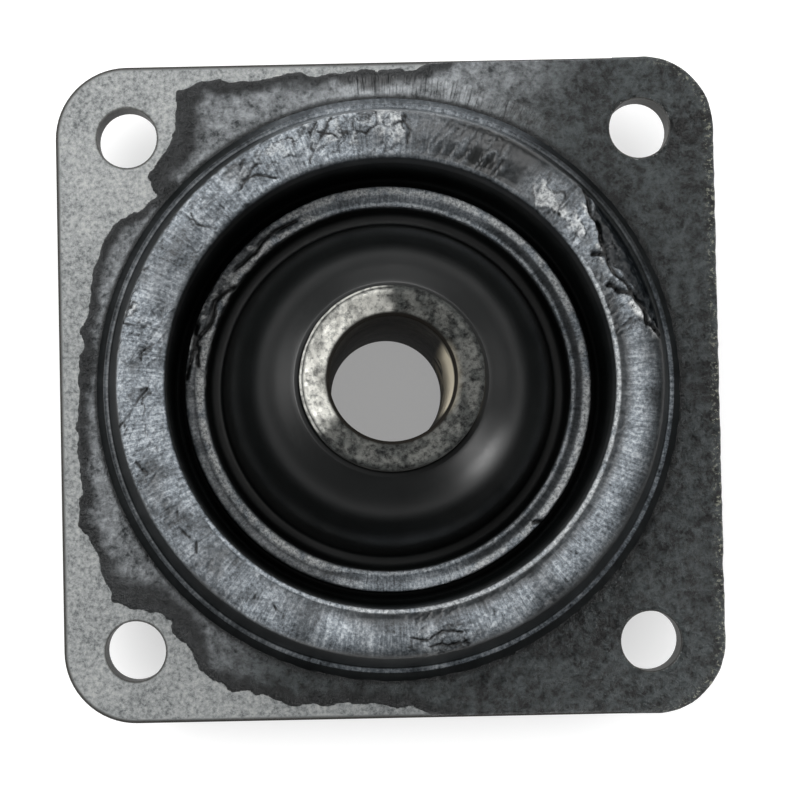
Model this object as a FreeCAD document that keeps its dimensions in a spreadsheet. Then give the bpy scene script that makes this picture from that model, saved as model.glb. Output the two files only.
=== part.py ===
import FreeCAD, Part
import math
import os

import Sketcher

# Square-flange engine mount: a pressed steel flange plate and a steel centre sleeve, both bonded into
# one rubber moulding. The rubber has a dome that rises to the sleeve, a moat and a lip round it, a narrow
# groove, and a tall snubbing ring that stands on the plate. A thin skin of rubber runs out over the plate.
# Millimetres, +Z up the sleeve. The origin is on the sleeve's axis, in the seat plane: the underside of
# the flange plate, which bolts down on its bracket.

SIZES = {
    # flange plate
    "bolt_spacing": 60.0,      # square pattern, hole centre to hole centre
    "bolt_hole_dia": 7.0,      # clearance for M6 or 1/4 in
    "bolt_margin": 8.4,        # hole centre to plate edge, and the corner radius round the hole
    "plate_thick": 3.0,
    "plate_edge_break": 0.4,   # edge rolled over by the blanking die
    "window_cover": 1.9,       # how far the rubber ring reaches in over the plate's round window
    # centre sleeve
    "sleeve_bore_dia": 13.5,   # clearance for M12 or 1/2 in
    "sleeve_outer_dia": 20.0,
    "sleeve_length": 31.0,
    "sleeve_drop": 10.0,       # lower end below the seat plane
    "bore_chamfer": 0.5,
    "sleeve_end_wear": 0.8,    # outer edge of the end faces, worn to a bevel
    # rubber dome round the sleeve
    "rim_width": 0.6,          # narrow flat rim of rubber round the sleeve
    "rim_below_end": 3.0,      # the rubber stops this far below the sleeve's top end
    "dome_run": 8.9,           # rim to moat, outwards
    "dome_foot_depth": 2.0,    # where the dome meets the moat, below the plate's top face
    "shoulder_run": 3.9,       # rim to the dome's shoulder, outwards
    "shoulder_drop": 2.8,      # rim down to the shoulder
    "haunch_run": 7.0,         # rim to the steep lower part of the dome, outwards
    "haunch_drop": 8.5,        # rim down to the steep lower part
    # moat and lip
    "moat_width": 1.7,
    "moat_floor_width": 0.7,
    "moat_dip": 0.6,
    "lip_slope": 0.3,
    "lip_width": 2.2,
    "lip_rise": 0.6,           # above the plate's top face
    "lip_edge_break": 0.45,
    # groove and snubbing ring
    "groove_width": 1.4,
    "groove_depth": 2.0,       # below the plate's top face
    "ring_rise": 9.8,          # above the plate's top face
    "ring_top_width": 5.3,
    "ring_crown": 0.25,        # crest of the top above its two edges
    "ring_inner_break": 0.6,
    "ring_outer_break": 1.0,
    "flank_run": 2.8,
    "bead_width": 0.6,
    "bead_rise": 2.6,          # above the plate's top face
    "bead_draft": 0.4,
    # underside
    "pilot_step": 1.5,         # pilot boss inside the plate's window
    "pilot_drop": 3.0,
    "pilot_edge_break": 0.9,
    "pilot_land": 4.5,
    "foot_width": 2.5,         # rubber collar round the sleeve's lower end
    "foot_above_end": 1.5,
    # rubber skin over the plate
    "skin_thick": 0.4,
    "skin_hole_clear": 0.15,
    "flash_width": 0.3,        # rubber that wrapped round the plate's right edge
    "flash_drop": 2.2,         # how far down the edge it runs
    "flash_angle": 62.0,       # how far it follows each right corner
    # torn chunk in the ring's outer edge
    "tear_start": 11.0,        # degrees round from +X
    "tear_angle": 31.0,
    "tear_inset": 2.3,         # in from the ring's outer top edge
    "tear_depth": 1.3,
    "tear_fall": 1.9,
}

# Where the bare steel shows: the ragged edge of the skin along the plate's left side, from the top
# edge round to the bottom edge. Each point is (inset from the plate's left edge, height above its centre).
SKIN_EDGE_LEFT = [
    (13.9, 35.2), (14.0, 31.0), (11.2, 27.4), (10.4, 24.6), (9.6, 22.0), (6.2, 20.8),
    (3.9, 16.0), (2.4, 9.0), (1.5, 2.0), (1.3, -9.0), (2.6, -17.5), (5.6, -24.2),
    (9.8, -26.0), (14.2, -29.4), (17.0, -33.2),
]
# The same edge along the top and along the bottom: (inset from that edge, place along it).
SKIN_EDGE_TOP = [(0.9, 14.0), (1.3, -10.0), (1.9, -21.0)]
SKIN_EDGE_BOTTOM = [(2.0, -14.0), (1.7, -6.0), (0.8, 4.0)]
SKIN_TOP_END = 17.0
SKIN_BOTTOM_END = 7.0

HALF_SIDE = "(sizes.bolt_spacing / 2 + sizes.bolt_margin)"
HOLE_PLACE = "(sizes.bolt_spacing / 2)"
SLEEVE_RAD = "(sizes.sleeve_outer_dia / 2)"
SLEEVE_TOP = "(sizes.sleeve_length - sizes.sleeve_drop)"
SLEEVE_FOOT = "(-sizes.sleeve_drop)"
RIM_RAD = f"({SLEEVE_RAD} + sizes.rim_width)"
SHOULDER_RAD = f"({RIM_RAD} + sizes.shoulder_run)"
HAUNCH_RAD = f"({RIM_RAD} + sizes.haunch_run)"
MOAT_INNER_RAD = f"({RIM_RAD} + sizes.dome_run)"
MOAT_OUTER_RAD = f"({MOAT_INNER_RAD} + sizes.moat_width)"
MOAT_FLOOR_INNER_RAD = f"(({MOAT_INNER_RAD} + {MOAT_OUTER_RAD} - sizes.moat_floor_width) / 2)"
MOAT_FLOOR_OUTER_RAD = f"(({MOAT_INNER_RAD} + {MOAT_OUTER_RAD} + sizes.moat_floor_width) / 2)"
LIP_INNER_RAD = f"({MOAT_OUTER_RAD} + sizes.lip_slope)"
LIP_OUTER_RAD = f"({LIP_INNER_RAD} + sizes.lip_width)"
RING_INNER_RAD = f"({LIP_OUTER_RAD} + sizes.groove_width)"
RING_TOP_RAD = f"({RING_INNER_RAD} + sizes.ring_top_width)"
RING_CREST_RAD = f"(({RING_INNER_RAD} + {RING_TOP_RAD}) / 2)"
BEAD_INNER_RAD = f"({RING_TOP_RAD} + sizes.flank_run)"
BEAD_OUTER_RAD = f"({BEAD_INNER_RAD} + sizes.bead_width)"
RING_BASE_RAD = f"({BEAD_OUTER_RAD} + sizes.bead_draft)"
WINDOW_RAD = f"({RING_INNER_RAD} + sizes.window_cover)"
PILOT_RAD = f"({WINDOW_RAD} - sizes.pilot_step)"
FOOT_RAD = f"({SLEEVE_RAD} + sizes.foot_width)"
FOOT_END = f"({SLEEVE_FOOT} + sizes.foot_above_end)"
RIM_TOP = f"({SLEEVE_TOP} - sizes.rim_below_end)"
SHOULDER_TOP = f"({RIM_TOP} - sizes.shoulder_drop)"
HAUNCH_TOP = f"({RIM_TOP} - sizes.haunch_drop)"
MOAT_TOP = "(sizes.plate_thick - sizes.dome_foot_depth)"
MOAT_FLOOR = f"({MOAT_TOP} - sizes.moat_dip)"
LIP_TOP = "(sizes.plate_thick + sizes.lip_rise)"
GROOVE_FLOOR = "(sizes.plate_thick - sizes.groove_depth)"
RING_TOP = "(sizes.plate_thick + sizes.ring_rise)"
RING_CREST = f"({RING_TOP} + sizes.ring_crown)"
BEAD_TOP = "(sizes.plate_thick + sizes.bead_rise)"
SKIN_TOP = "(sizes.plate_thick + sizes.skin_thick)"

CORNER_BOW = "(-sizes.bolt_margin * (1 - sqrt(0.5)))"

ORIGIN_POINT = (-1, 1)
EDGE_TOLERANCE = 0.01


def make_sheet(doc):
    """Put every driving size in the sheet, each under its own alias."""
    sheet = doc.addObject("Spreadsheet::Sheet", "sizes")
    for row, (name, size) in enumerate(SIZES.items(), start=1):
        sheet.set(f"A{row}", name)
        sheet.set(f"B{row}", str(size))
        sheet.setAlias(f"B{row}", name)
    doc.recompute()
    return sheet


def value(owner, formula):
    """A formula on the sheet, as a number."""
    return float(owner.evalExpression(formula))


def make_body(doc, name):
    body = doc.addObject("PartDesign::Body", name)
    body.Label = name
    return body


def make_sketch(body, name, role, height=None, turn=None):
    """A sketch on one of the body's own planes, lifted along its normal or turned about its upright axis."""
    plane = next(item for item in body.Origin.OriginFeatures if item.Role == role)
    sketch = body.newObject("Sketcher::SketchObject", name)
    sketch.AttachmentSupport = (plane, [""])
    sketch.MapMode = "FlatFace"
    if height is not None:
        sketch.setExpression(".AttachmentOffset.Base.z", height)
    if turn is not None:
        upright = FreeCAD.Vector(0, 1, 0)
        sketch.AttachmentOffset = FreeCAD.Placement(FreeCAD.Vector(), FreeCAD.Rotation(upright, 0))
        sketch.setExpression(".AttachmentOffset.Rotation.Angle", turn)
    return sketch


def pin(sketch, geometry, end, across, up):
    """Fix one end of a sketched edge at a place worked out from the sheet."""
    for kind, formula in (("DistanceX", across), ("DistanceY", up)):
        index = sketch.addConstraint(
            Sketcher.Constraint(kind, *ORIGIN_POINT, geometry, end, value(sketch, formula))
        )
        sketch.setExpression(f"Constraints[{index}]", formula)


def outline(sketch, corners):
    """A closed outline. Each corner is (across, up, sagitta): a sagitta bows the edge that leaves the corner,
    to its left where it is positive, and None leaves that edge straight."""
    places = [FreeCAD.Vector(value(sketch, a), value(sketch, u), 0) for a, u, _ in corners]
    first_ends = []
    for index, (across, up, sagitta) in enumerate(corners):
        after = (index + 1) % len(corners)
        start, end = places[index], places[after]
        if sagitta is None:
            sketch.addGeometry(Part.LineSegment(start, end))
            first_ends.append(1)
            continue
        bow = value(sketch, sagitta)
        sketch.addGeometry(bowed_edge(start, end, bow))
        first_ends.append(2 if bow > 0 else 1)
        run = f"({corners[after][0]} - {across})"
        rise = f"({corners[after][1]} - {up})"
        radius = f"({run}^2 + {rise}^2) / (8 * abs({sagitta})) + abs({sagitta}) / 2"
        number = sketch.addConstraint(Sketcher.Constraint("Radius", index, value(sketch, radius)))
        sketch.setExpression(f"Constraints[{number}]", radius)
    for index, first in enumerate(first_ends):
        before = (index - 1) % len(corners)
        last = 3 - first_ends[before]
        sketch.addConstraint(Sketcher.Constraint("Coincident", before, last, index, first))
        pin(sketch, index, first, corners[index][0], corners[index][1])


def bowed_edge(start, end, bow):
    """An arc over a chord, to its left where the bow is positive, stored counter-clockwise."""
    chord = end - start
    left = FreeCAD.Vector(-chord.y, chord.x, 0).normalize()
    side = math.copysign(1, bow)
    radius = chord.Length ** 2 / (8 * abs(bow)) + abs(bow) / 2
    centre = (start + end) / 2 + left * (bow - side * radius)
    first, last = (end, start) if bow > 0 else (start, end)
    turn_first = math.atan2(first.y - centre.y, first.x - centre.x)
    turn_last = math.atan2(last.y - centre.y, last.x - centre.x)
    if turn_last < turn_first:
        turn_last += 2 * math.pi
    return Part.ArcOfCircle(Part.Circle(centre, FreeCAD.Vector(0, 0, 1), radius), turn_first, turn_last)


def circle(sketch, across, up, radius):
    centre = FreeCAD.Vector(value(sketch, across), value(sketch, up), 0)
    normal = FreeCAD.Vector(0, 0, 1)
    index = sketch.addGeometry(Part.Circle(centre, normal, value(sketch, radius)))
    number = sketch.addConstraint(Sketcher.Constraint("Radius", index, value(sketch, radius)))
    sketch.setExpression(f"Constraints[{number}]", radius)
    pin(sketch, index, 3, across, up)


def pad(body, sketch, name, length, downward=False):
    feature = body.newObject("PartDesign::Pad", name)
    feature.Profile = sketch
    feature.setExpression("Length", length)
    feature.Reversed = downward
    return feature


def four_holes(body, name, radius, lift):
    """Four through holes on the square bolt pattern: one pocket, repeated round the sleeve's axis."""
    sketch = make_sketch(body, f"{name}_sketch", "XY_Plane", lift)
    circle(sketch, HOLE_PLACE, HOLE_PLACE, radius)
    pocket = body.newObject("PartDesign::Pocket", name)
    pocket.Profile = sketch
    pocket.Type = "ThroughAll"
    pocket.Midplane = True
    body.Document.recompute()
    pattern = body.newObject("PartDesign::PolarPattern", f"{name}_pattern")
    pattern.Originals = [pocket]
    upright = next(item for item in body.Origin.OriginFeatures if item.Role == "Z_Axis")
    pattern.Axis = (upright, [""])
    pattern.Angle = 360
    pattern.Occurrences = 4
    body.Tip = pattern
    return pattern


def ring_edges(feature, radius, height):
    """Names of the feature's circular edges of one radius at one height round the sleeve's axis."""
    names = []
    for number, edge in enumerate(feature.Shape.Edges, start=1):
        if not isinstance(edge.Curve, Part.Circle):
            continue
        centre = edge.Curve.Center
        off = math.hypot(centre.x, centre.y) + abs(centre.z - height) + abs(edge.Curve.Radius - radius)
        if off < EDGE_TOLERANCE:
            names.append(f"Edge{number}")
    return names


def break_edges(body, feature, name, edges, size):
    """Bevel the named edges by one size."""
    bevel = body.newObject("PartDesign::Chamfer", name)
    bevel.Base = (feature, edges)
    bevel.setExpression("Size", size)
    body.Document.recompute()
    return bevel


def plate_corners():
    """The plate's outline, counter-clockwise: four straight sides and quarter rounds about the bolt holes."""
    on_side = (HALF_SIDE, HOLE_PLACE)
    on_top = (HOLE_PLACE, HALF_SIDE)
    corners = []
    for across, up, first, last in ((1, 1, on_side, on_top), (-1, 1, on_top, on_side),
                                    (-1, -1, on_side, on_top), (1, -1, on_top, on_side)):
        corners.append((f"({across} * {first[0]})", f"({up} * {first[1]})", CORNER_BOW))
        corners.append((f"({across} * {last[0]})", f"({up} * {last[1]})", None))
    return corners


def make_flange_plate(doc):
    body = make_body(doc, "flange_plate")
    sketch = make_sketch(body, "plate_outline", "XY_Plane")
    outline(sketch, plate_corners())
    blank = pad(body, sketch, "plate_blank", "sizes.plate_thick")
    doc.recompute()
    top = value(body, "sizes.plate_thick")
    edges = [
        f"Edge{number}"
        for number, edge in enumerate(blank.Shape.Edges, start=1)
        if abs(edge.BoundBox.ZMin - top) < EDGE_TOLERANCE
    ]
    break_edges(body, blank, "rolled_edge", edges, "sizes.plate_edge_break")
    window = make_sketch(body, "window_sketch", "XY_Plane", "sizes.plate_thick")
    circle(window, "0", "0", WINDOW_RAD)
    pocket = body.newObject("PartDesign::Pocket", "window")
    pocket.Profile = window
    pocket.Type = "ThroughAll"
    doc.recompute()
    four_holes(body, "bolt_hole", "sizes.bolt_hole_dia / 2", "sizes.plate_thick / 2")
    return body


def make_centre_sleeve(doc):
    body = make_body(doc, "centre_sleeve")
    sketch = make_sketch(body, "sleeve_section", "XZ_Plane")
    inner = "(sizes.sleeve_bore_dia / 2)"
    mouth = f"({inner} + sizes.bore_chamfer)"
    outline(sketch, [
        (inner, f"({SLEEVE_FOOT} + sizes.bore_chamfer)", None),
        (mouth, SLEEVE_FOOT, None),
        (SLEEVE_RAD, SLEEVE_FOOT, None),
        (SLEEVE_RAD, SLEEVE_TOP, None),
        (mouth, SLEEVE_TOP, None),
        (inner, f"({SLEEVE_TOP} - sizes.bore_chamfer)", None),
    ])
    tube = revolve(body, sketch, "tube")
    radius = value(body, SLEEVE_RAD)
    ends = []
    for height in (SLEEVE_TOP, SLEEVE_FOOT):
        ends += ring_edges(tube, radius, value(body, height))
    break_edges(body, tube, "worn_ends", ends, "sizes.sleeve_end_wear")
    return body


def revolve(body, sketch, name):
    feature = body.newObject("PartDesign::Revolution", name)
    feature.Profile = sketch
    feature.ReferenceAxis = (sketch, ["V_Axis"])
    feature.Angle = 360
    body.Document.recompute()
    return feature


def rubber_section():
    """Half section of the moulding, from the rim round the sleeve outwards over the top and back below."""
    return [
        (SLEEVE_RAD, RIM_TOP, None),
        (RIM_RAD, RIM_TOP, None),
        (SHOULDER_RAD, SHOULDER_TOP, None),
        (HAUNCH_RAD, HAUNCH_TOP, None),
        (MOAT_INNER_RAD, MOAT_TOP, None),
        (MOAT_FLOOR_INNER_RAD, MOAT_FLOOR, None),
        (MOAT_FLOOR_OUTER_RAD, MOAT_FLOOR, None),
        (MOAT_OUTER_RAD, MOAT_TOP, None),
        (LIP_INNER_RAD, LIP_TOP, None),
        (LIP_OUTER_RAD, LIP_TOP, None),
        (LIP_OUTER_RAD, GROOVE_FLOOR, None),
        (RING_INNER_RAD, GROOVE_FLOOR, None),
        (RING_INNER_RAD, RING_TOP, None),
        (RING_CREST_RAD, RING_CREST, None),
        (RING_TOP_RAD, RING_TOP, None),
        (BEAD_INNER_RAD, BEAD_TOP, None),
        (BEAD_OUTER_RAD, BEAD_TOP, None),
        (RING_BASE_RAD, "sizes.plate_thick", None),
        (WINDOW_RAD, "sizes.plate_thick", None),
        (WINDOW_RAD, "0", None),
        (PILOT_RAD, "0", None),
        (PILOT_RAD, "-sizes.pilot_drop", None),
        (f"({PILOT_RAD} - sizes.pilot_land)", "-sizes.pilot_drop", None),
        (FOOT_RAD, FOOT_END, None),
        (SLEEVE_RAD, FOOT_END, None),
    ]


def break_rubber_edges(body, moulding):
    """Moulded edge breaks on the lip, the ring's two top edges and the pilot boss."""
    steps = [
        ("lip_breaks", "sizes.lip_edge_break", [(LIP_INNER_RAD, LIP_TOP), (LIP_OUTER_RAD, LIP_TOP)]),
        ("ring_inner_break", "sizes.ring_inner_break", [(RING_INNER_RAD, RING_TOP)]),
        ("ring_outer_break", "sizes.ring_outer_break", [(RING_TOP_RAD, RING_TOP)]),
        ("pilot_break", "sizes.pilot_edge_break", [(PILOT_RAD, "-sizes.pilot_drop")]),
    ]
    feature = moulding
    for name, size, places in steps:
        edges = []
        for across, up in places:
            edges += ring_edges(feature, value(body, across), value(body, up))
        feature = break_edges(body, feature, name, edges, size)
    return feature


def make_skin(body):
    """The thin skin over the plate, ragged on the left, with the flash that wraps the plate's right edge."""
    top = [(f"{place}", f"({HALF_SIDE} - {inset})", None) for inset, place in SKIN_EDGE_TOP]
    left = [(f"({inset} - {HALF_SIDE})", f"{place}", None) for inset, place in SKIN_EDGE_LEFT]
    bottom = [(f"{place}", f"({inset} - {HALF_SIDE})", None) for inset, place in SKIN_EDGE_BOTTOM]
    right = [
        (f"{SKIN_BOTTOM_END}", f"(-{HALF_SIDE})", None),
        (HOLE_PLACE, f"(-{HALF_SIDE})", CORNER_BOW),
        (HALF_SIDE, f"(-{HOLE_PLACE})", None),
        (HALF_SIDE, HOLE_PLACE, CORNER_BOW),
        (HOLE_PLACE, HALF_SIDE, None),
        (f"{SKIN_TOP_END}", HALF_SIDE, None),
    ]
    sketch = make_sketch(body, "skin_outline", "XY_Plane", "sizes.plate_thick")
    outline(sketch, right + top + left + bottom)
    circle(sketch, "0", "0", f"(({RING_INNER_RAD} + {RING_BASE_RAD}) / 2)")
    return pad(body, sketch, "skin", "sizes.skin_thick")


def make_flash(body):
    """A strip of rubber down the plate's right edge and part of the way round both right corners."""
    outer = "(sizes.bolt_margin + sizes.flash_width)"
    inner = "sizes.bolt_margin"
    reach = "(cos(sizes.flash_angle * 1deg))", "(sin(sizes.flash_angle * 1deg))"
    bow = "(1 - cos(sizes.flash_angle * 0.5deg))"
    corners = []
    for radius, order in ((outer, (1, -1)), (inner, (-1, 1))):
        side = f"({HOLE_PLACE} + {radius})"
        for up in order:
            tip = (
                f"({HOLE_PLACE} + {radius} * {reach[0]})",
                f"{up} * ({HOLE_PLACE} + {radius} * {reach[1]})",
            )
            level = (side, f"{up} * {HOLE_PLACE}")
            sign = "" if radius == outer else "-"
            arc = f"({sign}{radius} * {bow})"
            leaving = up == order[0]
            corners += [(*tip, arc), (*level, None)] if leaving else [(*level, arc), (*tip, None)]
    sketch = make_sketch(body, "flash_outline", "XY_Plane", SKIN_TOP)
    outline(sketch, corners)
    return pad(body, sketch, "flash", "(sizes.skin_thick + sizes.flash_drop)", downward=True)


def make_tear(body):
    """The torn chunk: a part-turn groove in the ring's outer top edge."""
    start = f"({RING_TOP_RAD} - sizes.tear_inset)"
    floor = f"({RING_TOP} - sizes.tear_depth)"
    fall = f"({floor} - sizes.tear_fall)"
    clear = f"({RING_CREST} + sizes.tear_depth)"
    sketch = make_sketch(body, "tear_section", "XZ_Plane", turn="sizes.tear_start")
    outline(sketch, [
        (start, clear, None),
        (RING_BASE_RAD, clear, None),
        (RING_BASE_RAD, fall, None),
        (f"({RING_TOP_RAD} + sizes.ring_outer_break / 2)", fall, None),
        (f"({start} + sizes.ring_outer_break / 2)", floor, None),
    ])
    groove = body.newObject("PartDesign::Groove", "torn_chunk")
    groove.Profile = sketch
    groove.ReferenceAxis = (sketch, ["V_Axis"])
    groove.setExpression("Angle", "sizes.tear_angle")
    body.Document.recompute()
    return groove


def make_rubber_body(doc):
    body = make_body(doc, "rubber_body")
    sketch = make_sketch(body, "moulding_section", "XZ_Plane")
    outline(sketch, rubber_section())
    moulding = revolve(body, sketch, "moulding")
    break_rubber_edges(body, moulding)
    make_tear(body)
    make_skin(body)
    make_flash(body)
    doc.recompute()
    hole = "(sizes.bolt_hole_dia / 2 + sizes.skin_hole_clear)"
    four_holes(body, "skin_hole", hole, "sizes.plate_thick")
    return body


def check(doc, bodies):
    """Stop if any object failed to build, or any sub-part isn't one sound solid."""
    for item in doc.Objects:
        if "Invalid" in item.State or "Error" in item.State:
            raise RuntimeError(f"{item.Label} failed: {item.State}")
    for body in bodies:
        shape = body.Shape
        if shape.isNull() or not shape.isValid() or len(shape.Solids) != 1:
            raise RuntimeError(f"{body.Label} isn't one sound solid")


def main():
    doc = FreeCAD.newDocument("engine_mount")
    make_sheet(doc)
    bodies = [make_flange_plate(doc), make_rubber_body(doc), make_centre_sleeve(doc)]
    doc.recompute()
    check(doc, bodies)
    os.makedirs("parts", exist_ok=True)
    for body in bodies:
        body.Shape.exportStep(f"parts/{body.Label}.step")
        print(f"{body.Label}: {body.Shape.Volume / 1000:.2f} cm3, {body.Shape.BoundBox}")


main()
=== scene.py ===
# %% [markdown]
# # A worn square-flange engine mount
#
# The object is a bonded rubber mount. A pressed steel flange plate and a steel centre sleeve sit in one
# rubber moulding: a dome that rises to the sleeve, a moat and a lip round it, a narrow groove, and a tall
# snubbing ring. A thin skin of rubber runs out over the plate. Years of heat and movement have flaked the
# ring, torn a chunk from it and worn the sleeve's end bright.
#
# The scene starts from the CAD solids, which say where everything is. The plate keeps its CAD mesh. The
# sleeve and the rubber are modelled again, because their wear is what the eye goes to.

# %% Load the frame
import math
from functools import partial

import bpy
import numpy as np
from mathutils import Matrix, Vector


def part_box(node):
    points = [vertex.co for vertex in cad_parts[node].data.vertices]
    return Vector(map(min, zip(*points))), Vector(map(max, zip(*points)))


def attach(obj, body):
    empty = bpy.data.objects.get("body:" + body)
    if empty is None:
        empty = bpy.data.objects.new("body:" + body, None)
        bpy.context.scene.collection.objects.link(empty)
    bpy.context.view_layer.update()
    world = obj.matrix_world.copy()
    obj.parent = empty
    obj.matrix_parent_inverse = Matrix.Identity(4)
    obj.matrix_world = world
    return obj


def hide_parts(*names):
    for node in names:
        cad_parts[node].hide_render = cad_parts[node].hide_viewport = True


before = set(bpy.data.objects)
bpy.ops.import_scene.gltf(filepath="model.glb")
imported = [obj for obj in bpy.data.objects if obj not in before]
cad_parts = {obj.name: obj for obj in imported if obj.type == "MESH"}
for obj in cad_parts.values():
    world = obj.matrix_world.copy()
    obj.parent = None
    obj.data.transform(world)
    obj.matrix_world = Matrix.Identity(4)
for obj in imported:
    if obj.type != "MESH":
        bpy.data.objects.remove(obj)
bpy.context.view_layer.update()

for found in bpy.context.selected_objects:
    found.select_set(False)
print("CAD nodes:", sorted(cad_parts))

# %% [markdown]
# ## Sizes from the frame
#
# Blender works in metres and this object in millimetres, so one factor turns one into the other. The outer
# heights and radii are read from the nodes' boxes. What a box doesn't tell, such as the bore, the lip and the
# groove, is a named value in millimetres.

# %% Read the plate, the sleeve and the rubber
MM = 0.001
plate_low, plate_high = (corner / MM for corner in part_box("flange_plate"))
sleeve_low, sleeve_high = (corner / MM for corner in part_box("centre_sleeve"))
rubber_low, rubber_high = (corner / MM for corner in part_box("rubber_body"))

PLATE_TOP = plate_high.z
PLATE_HALF = plate_high.x
SLEEVE_RAD = sleeve_high.x
SLEEVE_TOP = sleeve_high.z
SLEEVE_FOOT = sleeve_low.z
RIM_TOP = rubber_high.z
RUBBER_FOOT = rubber_low.z
FLASH_REACH = rubber_high.x
BORE_RAD = 6.75
HOLE_PLACE = 30.0
HOLE_RAD = 3.5
CORNER_RAD = PLATE_HALF - HOLE_PLACE
print(f"plate {2 * PLATE_HALF:.1f} mm square, top at {PLATE_TOP:.1f} mm; sleeve {SLEEVE_FOOT:.1f} to "
      f"{SLEEVE_TOP:.1f} mm; rubber {RUBBER_FOOT:.1f} to {RIM_TOP:.1f} mm")

# %% [markdown]
# ## Small helpers
#
# Paint charts give colours as hex codes, which are display values, while shaders want linear light, so one
# function turns one into the other. Another adds a shader node with its settings and its links. Two more
# open and close a material, since each one starts and ends in the same way.

# %% Colour and shader helpers
def hex_colour(code):
    """A display colour such as 8A8F90 as linear red, green, blue and alpha."""
    linear = []
    for start in (0, 2, 4):
        part = int(code[start:start + 2], 16) / 255
        linear.append(part / 12.92 if part <= 0.04045 else ((part + 0.055) / 1.055) ** 2.4)
    return (*linear, 1.0)


def add_node(tree, kind, sockets=None, stops=None, **settings):
    """Add a node, set its properties, and fill or link its sockets. Stops are a ramp's (place, hex code).

    In a socket, a node stands for its first live output and a hex code for its colour.
    """
    node = tree.nodes.new("ShaderNode" + kind)
    for name, value in settings.items():
        setattr(node, name, value)
    for name, value in (sockets or {}).items():
        if isinstance(value, bpy.types.Node):
            value = next(output for output in value.outputs if output.enabled)
        if isinstance(value, bpy.types.NodeSocket):
            tree.links.new(value, node.inputs[name])
        else:
            node.inputs[name].default_value = hex_colour(value) if isinstance(value, str) else value
    for index, (place, code) in enumerate(stops or []):
        elements = node.color_ramp.elements
        stop = elements[index] if index < 2 else elements.new(place)
        stop.position = place
        stop.color = hex_colour(code)
    return node


def empty_tree(owner):
    """Give a material or a world an empty node tree, and return add_node for it."""
    owner.use_nodes = True
    owner.node_tree.nodes.clear()
    return partial(add_node, owner.node_tree)


def new_material(name, *painted):
    """An empty material, add_node for its tree, Object coordinates, and the values painted on the mesh."""
    material = bpy.data.materials.new(name)
    add = empty_tree(material)
    coords = add("TexCoord").outputs["Object"]
    return material, add, coords, [add("Attribute", attribute_name=value).outputs["Fac"] for value in painted]


def finish_material(material, add, colour, layers, sockets):
    """Lay each (share, colour) of the layers over the first colour, and add the Principled shader."""
    for share, top in layers:
        colour = add("Mix", {0: share, 6: colour, 7: top}, data_type="RGBA")
    shader = add("BsdfPrincipled", {"Base Color": colour, **sockets})
    add("OutputMaterial", {"Surface": shader})
    return material


print("mid grey as linear:", [round(part, 3) for part in hex_colour("808080")[:3]])

# %% [markdown]
# ## Noise for modelling
#
# Torn and crumbled rubber has no drawing, so its small shapes come from noise. This lattice noise gives
# every point of space a fixed value from 0 to 1, so the wear is the same on each run. The cell is the size
# of one bump in millimetres, and each octave adds bumps half as large. Each use has a seed of its own.

# %% Lattice noise
def lattice_value(cell_x, cell_y, cell_z, seed):
    """A fixed random value from 0 to 1 for each whole-numbered cell."""
    mixed = cell_x * 73856093 ^ cell_y * 19349663 ^ cell_z * 83492791 ^ seed * 2654435761
    mixed = (mixed ^ (mixed >> 13)) * 1274126177 & 0xFFFFFFFF
    return ((mixed ^ (mixed >> 16)) & 0xFFFF) / 65535.0


def noise(points, cell, seed, octaves=1):
    """Smooth noise from 0 to 1 at points given in millimetres."""
    total, weight_sum = np.zeros(len(points)), 0.0
    for octave in range(octaves):
        scaled = points / (cell / 2 ** octave)
        whole = np.floor(scaled).astype(np.int64)
        part = scaled - whole
        part = part * part * (3 - 2 * part)
        value = np.zeros(len(points))
        for corner in range(8):
            step = np.array([corner & 1, corner >> 1 & 1, corner >> 2 & 1])
            weight = np.prod(np.where(step, part, 1 - part), axis=1)
            value += weight * lattice_value(*(whole + step).T, seed + octave)
        total += value / 2 ** octave
        weight_sum += 1 / 2 ** octave
    return total / weight_sum


def fade(value, low, high):
    """0 below low, 1 above high, and an even curve between them."""
    part = np.clip((value - low) / (high - low), 0, 1)
    return part * part * (3 - 2 * part)


def ripple(points, cell, seed, octaves, height):
    """Noise as a rise and fall about 0 that spans the given height."""
    return (noise(points, cell, seed, octaves) - 0.5) * height


def patches(points, cell, seed, octaves, low, high):
    """Noise as patches: 0 where it is below low, 1 where it is above high."""
    return fade(noise(points, cell, seed, octaves), low, high)


def veins(points, cell, seed):
    """Noise as thin lines, up to 1 along their middle."""
    return 1 - np.abs(2 * noise(points, cell, seed, 3) - 1)


sample_points = np.array([[1.0, 2.0, 3.0], [4.5, 5.5, 6.5]])
print("two samples of the noise:", noise(sample_points, 2.0, 1).round(3))

# %% [markdown]
# ## Turned shapes
#
# The sleeve was turned on a lathe and the rubber came out of a round mould, so both are profiles spun
# about the axis. A profile is drawn as by hand: one vertex, extruded along the outline again and again. A
# Screw modifier with no rise then sweeps it through a full turn, which is quicker than the spin tool when a
# turn takes a thousand steps. Corners are rounded and runs are divided first, finely where wear will show.

# %% Profiles and the sweep
def round_corner(before, here, after, rounding, spacing):
    """Points along the arc that rounds one corner."""
    before = (before - here) / np.linalg.norm(before - here)
    after = (after - here) / np.linalg.norm(after - here)
    half_angle = math.acos(np.clip(before @ after, -1, 1)) / 2
    centre = here + (before + after) / np.linalg.norm(before + after) * rounding / math.sin(half_angle)
    reach = rounding / math.tan(half_angle)
    start, end = here + before * reach - centre, here + after * reach - centre
    turn = math.pi - 2 * half_angle
    pieces = max(2, round(rounding * turn / spacing))
    parts = [piece / pieces for piece in range(pieces + 1)]
    return [
        centre + (math.sin((1 - part) * turn) * start + math.sin(part * turn) * end) / math.sin(turn)
        for part in parts
    ]


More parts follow.
